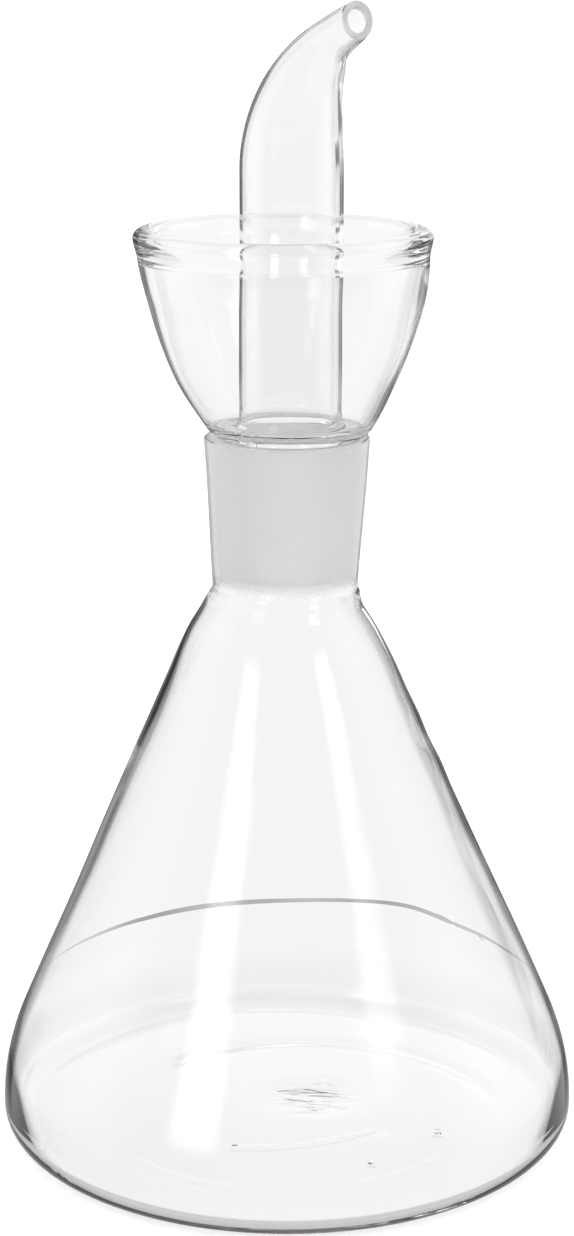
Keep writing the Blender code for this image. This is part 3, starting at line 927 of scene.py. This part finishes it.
def studio_world():
    world = bpy.data.worlds.new("studio")
    bpy.context.scene.world = world
    world.use_nodes = True
    world.cycles.sampling_method = "NONE"
    tree = world.node_tree
    background = tree.nodes["Background"]
    path = tree.nodes.new("ShaderNodeLightPath")
    place = tree.nodes.new("ShaderNodeTexCoord")
    split = tree.nodes.new("ShaderNodeSeparateXYZ")
    tree.links.new(place.outputs["Generated"], split.inputs[0])
    azimuth = math_node(tree, "ARCTAN2", split.outputs["Y"], split.outputs["X"])
    upwards = split.outputs["Z"]

    def risen(foot, edge):
        return soft_range(tree, upwards, math.sin(foot - edge), math.sin(foot + edge))

    def box(side, foot, top, foot_edge, level):
        between = math_node(tree, "SUBTRACT", risen(foot, foot_edge), risen(top, foot_edge))
        return math_node(tree, "MULTIPLY", math_node(tree, "MULTIPLY", side, between), level)

    left = box(panel(tree, LEFT_BOX_AZIMUTH, LEFT_BOX_HALF_WIDTH, LEFT_BOX_EDGE, azimuth),
               LEFT_BOX_FOOT, LEFT_BOX_TOP, LEFT_BOX_FOOT_EDGE, LEFT_BOX_LEVEL)
    right = box(panel(tree, RIGHT_BOX_AZIMUTH, RIGHT_BOX_HALF_WIDTH, RIGHT_BOX_EDGE, azimuth),
                RIGHT_BOX_FOOT, RIGHT_BOX_TOP, RIGHT_BOX_FOOT_EDGE, RIGHT_BOX_LEVEL)

    turned = math_node(tree, "COSINE", math_node(tree, "SUBTRACT", azimuth, AHEAD_AZIMUTH))
    room = soft_range(tree, turned, math.cos(NEAR_TURN), math.cos(BRIGHT_TURN))
    room = blend_level(tree, room, NEAR_LEVEL, BRIGHT_LEVEL)
    flags = panel(tree, FLAG_AZIMUTH, FLAG_HALF_WIDTH, FLAG_EDGE, azimuth)
    upper_flags = panel(tree, UPPER_FLAG_AZIMUTH, UPPER_FLAG_HALF_WIDTH, FLAG_EDGE, azimuth)
    upper_flags = math_node(tree, "MULTIPLY", upper_flags, risen(SCREEN_FOOT, SCREEN_FOOT_EDGE))
    flags = math_node(tree, "MAXIMUM", flags, upper_flags)
    below_top = math_node(tree, "SUBTRACT", 1.0, risen(FLAG_TOP, FLAG_TOP_EDGE))
    flags = math_node(tree, "MULTIPLY", flags, below_top)
    strip = math_node(tree, "SUBTRACT", risen(LIGHT_FOOT, LIGHT_EDGE), risen(LIGHT_TOP, LIGHT_EDGE))
    dark = blend_level(tree, strip, DARK_LEVEL, LIGHT_LEVEL)
    mirrored = blend_level(tree, flags, room, dark)
    screen = panel(tree, SCREEN_AZIMUTH, SCREEN_HALF_WIDTH, SCREEN_EDGE, azimuth)
    screen = math_node(tree, "MULTIPLY", screen, risen(SCREEN_FOOT, SCREEN_FOOT_EDGE))
    mirrored = blend_level(tree, screen, mirrored, SCREEN_LEVEL)
    mirrored = blend_level(tree, risen(FLAG_FOOT, FLAG_FOOT_EDGE), TABLE_LEVEL, mirrored)
    mirrored = math_node(tree, "ADD", mirrored, math_node(tree, "ADD", left, right))

    lower = soft_range(tree, math_node(tree, "MULTIPLY", upwards, -1.0), *LOW_RANGE)
    straight = math_node(tree, "SUBTRACT", WHITE_LEVEL, math_node(tree, "MULTIPLY", lower, LOW_SHARE))
    has_mirrored = math_node(tree, "MINIMUM", path.outputs["Glossy Depth"], 1.0)
    level = blend_level(tree, has_mirrored, straight, mirrored)
    has_scattered = math_node(tree, "MINIMUM", path.outputs["Diffuse Depth"], 1.0)
    level = blend_level(tree, has_scattered, level, PLAIN_LEVEL)
    level = blend_level(tree, path.outputs["Is Camera Ray"], level, 1.0)
    tree.links.new(level, background.inputs["Strength"])
    background.inputs["Color"].default_value = (1.0, 1.0, 1.0, 1.0)


def stage_piece(name, bm, material):
    mesh = bpy.data.meshes.new(name)
    bm.to_mesh(mesh)
    bm.free()
    mesh.materials.append(material)
    piece = bpy.data.objects.new(name, mesh)
    bpy.context.scene.collection.objects.link(piece)
    return piece


def floor_material():
    material, tree, shader = new_material("white_floor")
    shader.inputs["Base Color"].default_value = FLOOR_COLOUR
    shader.inputs["Roughness"].default_value = 1.0
    shader.inputs["Specular IOR Level"].default_value = 0.0
    path = tree.nodes.new("ShaderNodeLightPath")
    glow = math_node(tree, "MULTIPLY", path.outputs["Is Camera Ray"], FLOOR_GLOW)
    shader.inputs["Emission Color"].default_value = (1.0, 1.0, 1.0, 1.0)
    tree.links.new(glow, shader.inputs["Emission Strength"])
    return material


def table_edge_shade_material():
    """Painted shade: a thin dark line for the shadow gap at the table's edge, uneven as it looks through
    blown glass.
    """
    material, tree, shader = new_material("table_edge_shade")
    # Painted shade: black, for the shadow in the gap at the table's edge
    shader.inputs["Base Color"].default_value = (0.0, 0.0, 0.0, 1.0)
    shader.inputs["Specular IOR Level"].default_value = 0.0
    faint = soft_range(tree, noise_of(tree, own_place(tree), EDGE_SCALE, detail=2.0), *EDGE_RANGE)
    clear_share = math_node(tree, "ADD", EDGE_CLEAR, math_node(tree, "MULTIPLY", faint, EDGE_CLEARER))
    show_surface(tree, mixed(tree, clear_share, shader, tree.nodes.new("ShaderNodeBsdfTransparent")))
    return material


def stage_floor():
    bm = bmesh.new()
    bmesh.ops.create_circle(bm, cap_ends=True, segments=FLOOR_SIDES, radius=FLOOR_RADIUS,
                            matrix=Matrix.Translation((0, 0, FLOOR_Z)))
    floor = stage_piece("floor", bm, floor_material())
    floor.visible_transmission = False
    floor.visible_glossy = False

    # The table's edge as a ring of painted shade, seen only through the glass
    bm = bmesh.new()
    turn = np.arange(EDGE_SIDES) * 2 * math.pi / EDGE_SIDES
    inner, outer = ([bm.verts.new((radius * math.cos(a), radius * math.sin(a), EDGE_Z)) for a in turn]
                    for radius in (EDGE_RADIUS, EDGE_RADIUS + EDGE_WIDTH))
    for i in range(EDGE_SIDES):
        bm.faces.new((inner[i - 1], outer[i - 1], outer[i], inner[i]))
    edge = stage_piece("table_edge_shade", bm, table_edge_shade_material())
    edge.visible_camera = False
    edge.visible_diffuse = False
    edge.visible_glossy = False
    edge.visible_shadow = False


def lamp(name, azimuth):
    data = bpy.data.lights.new(name, "AREA")
    data.shape = "RECTANGLE"
    data.size, data.size_y = LAMP_SIZE
    data.energy = LAMP_POWER
    piece = bpy.data.objects.new(name, data)
    bpy.context.scene.collection.objects.link(piece)
    piece.location = (LAMP_DISTANCE * math.cos(azimuth), LAMP_DISTANCE * math.sin(azimuth), LAMP_HEIGHT)
    piece.rotation_euler = (LAMP_TARGET - piece.location).to_track_quat("-Z", "Y").to_euler()
    piece.visible_camera = False
    piece.visible_glossy = False
    piece.visible_transmission = False


def camera():
    data = bpy.data.cameras.new("camera")
    data.sensor_width = CAMERA_SENSOR
    data.lens = CAMERA_LENS
    data.clip_start, data.clip_end = CAMERA_CLIP
    piece = bpy.data.objects.new("camera", data)
    bpy.context.scene.collection.objects.link(piece)
    piece.location = -VIEW_AHEAD * CAMERA_DISTANCE + Vector((0.0, 0.0, CAMERA_HEIGHT))
    ahead = VIEW_AHEAD * math.cos(CAMERA_PITCH) - Vector((0.0, 0.0, 1.0)) * math.sin(CAMERA_PITCH)
    piece.rotation_euler = ahead.to_track_quat("-Z", "Y").to_euler()
    bpy.context.scene.camera = piece


def main():
    camera()
    glass = clear_glass()
    frosted = ground_glass("ground_glass")
    # Painted shade: the cut tip's ground glass as a darker copy of the joint's, for the shade it shows
    cut = ground_glass("cut_glass_painted_shade", shade=CUT_PAINTED_SHADE, milkiness=CUT_MILKINESS)
    thinning = [ground_glass(f"ground_thinning_{step}", share=1 - step / (THINNING_STEPS + 1))
                for step in range(1, THINNING_STEPS + 1)]
    flask = flask_glass([glass, frosted, cut] + thinning)
    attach(flask, "flask")
    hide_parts("flask_body", "ground_socket")
    pourer = pourer_glass([glass, frosted, cut])
    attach(pourer, "pourer")
    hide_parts("ground_cone", "drip_cup", "pouring_spout")
    stage_floor()
    studio_world()
    lamp("left_softbox", LEFT_BOX_AZIMUTH)
    lamp("right_softbox", RIGHT_BOX_AZIMUTH)
    scene = bpy.context.scene
    scene.view_settings.view_transform = "Standard"
    scene.cycles.max_bounces = GLASS_BOUNCES
    scene.cycles.transmission_bounces = GLASS_BOUNCES
    scene.cycles.glossy_bounces = GLOSSY_BOUNCES
    scene.cycles.diffuse_bounces = DIFFUSE_BOUNCES
    scene.cycles.use_denoising = True


main()
